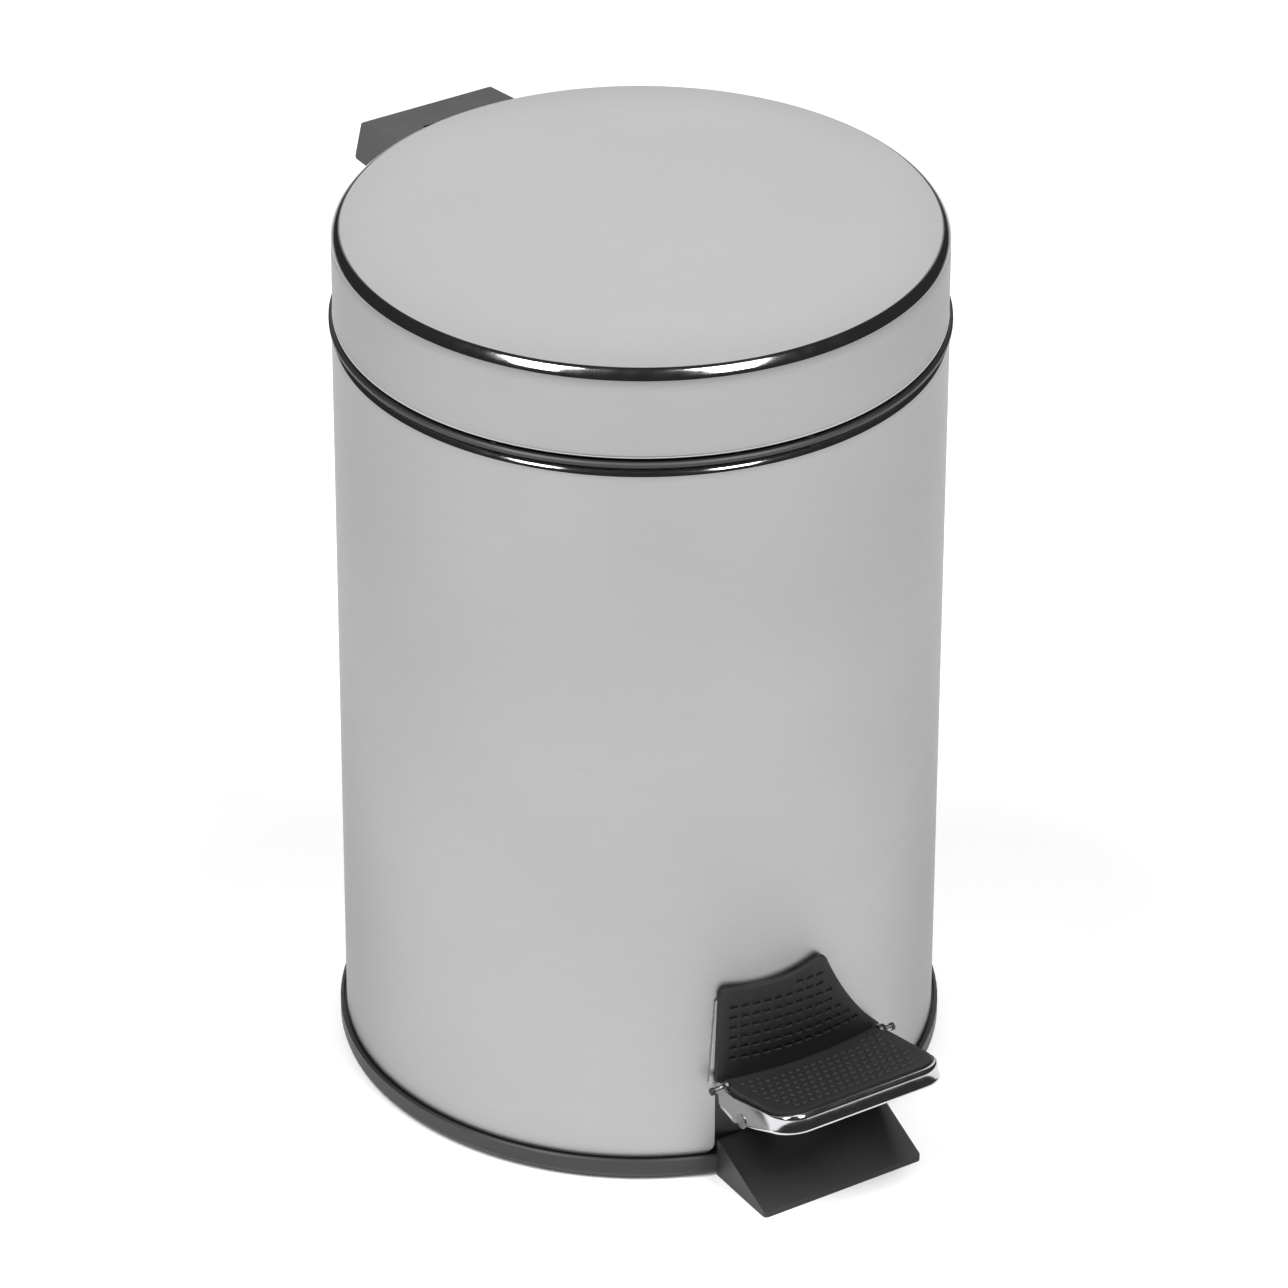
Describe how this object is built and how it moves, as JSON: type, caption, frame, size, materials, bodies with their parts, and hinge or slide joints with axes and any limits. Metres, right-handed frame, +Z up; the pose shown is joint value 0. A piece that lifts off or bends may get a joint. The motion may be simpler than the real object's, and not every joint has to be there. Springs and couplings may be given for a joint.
{
  "type": "pedal trash can",
  "caption": "Round steel pedal trash can with a hinged lid, ribbed rubber pedal, guard plate, lever and push rod, rear handle and a lift-out bucket.",
  "frame": {"origin": "on the can's axis, at the floor", "axes": "+Z up along the can's axis, pedal towards -Y, hinge and rear handle towards +Y, +X to the right seen from the pedal's side"},
  "size_m": [0.1726, 0.2362, 0.2572],
  "materials": {
    "satin_steel": "satin stainless steel",
    "zinc_steel": "plain zinc-plated sheet",
    "polished_steel": "polished",
    "bright_steel": "bright drawn wire and fasteners",
    "black_plastic": "fine matt black",
    "bucket_plastic": "smooth black",
    "rubber": "matt black rubber with small nubs"
  },
  "bodies": {
    "can": {"outer_shell": "satin_steel", "bottom_plate": "zinc_steel", "base_ring": "black_plastic", "top_collar": "black_plastic", "lid_bumpers": "rubber", "rear_handle": "black_plastic", "handle_screws": "bright_steel", "hinge_pin": "bright_steel", "guard_plate": "polished_steel", "guard_pad": "rubber", "guard_rivets": "bright_steel", "pedal_pins": "bright_steel", "pin_caps": "black_plastic", "lever_bracket": "zinc_steel", "bracket_rivets": "bright_steel", "lever_axle": "bright_steel", "axle_clips": "black_plastic", "rod_guides": "black_plastic", "guide_rivets": "bright_steel"},
    "pedal": {"pedal_tray": "polished_steel", "pedal_pad": "rubber", "press_bar": "polished_steel"},
    "lever": {"pedal_lever": "zinc_steel"},
    "rod": {"push_rod": "bright_steel"},
    "lid": {"lid_shell": "satin_steel", "lid_hinge_arm": "bright_steel", "lid_rivets": "bright_steel"},
    "bucket": {"inner_bucket": "bucket_plastic"},
    "bail": {"bucket_handle": "bright_steel", "handle_grip": "black_plastic"}
  },
  "joints": [
    {"name": "lid_hinge", "type": "hinge", "parent": "can", "child": "lid", "pos_m": [0, 0.098, 0.24], "axis": [-1, 0, 0], "range_deg": [0, 75]},
    {"name": "pedal_pivot", "type": "hinge", "parent": "can", "child": "pedal", "pos_m": [0, -0.0852, 0.0316], "axis": [1, 0, 0], "range_deg": [0, 18.5]},
    {"name": "lever_pivot", "type": "hinge", "parent": "can", "child": "lever", "pos_m": [0, -0.06, 0.011], "axis": [1, 0, 0], "range_deg": [0, 5.62]},
    {"name": "rod_lift", "type": "slide", "parent": "can", "child": "rod", "axis": [0, 0, 1], "range_m": [0, 0.0145]},
    {"name": "bucket_lift", "type": "slide", "parent": "can", "child": "bucket", "axis": [0, 0, 1], "range_m": [0, 0.006]},
    {"name": "bail_swing", "type": "hinge", "parent": "bucket", "child": "bail", "pos_m": [0, 0, 0.2345], "axis": [-1, 0, 0], "range_deg": [0, 10]}
  ],
  "couplings": [
    {"joint": "pedal_pivot", "follows": "lid_hinge", "ratio": 0.24667},
    {"joint": "lever_pivot", "follows": "lid_hinge", "ratio": 0.07493},
    {"joint": "rod_lift", "follows": "lid_hinge", "m_per_rad": 0.011077}
  ]
}
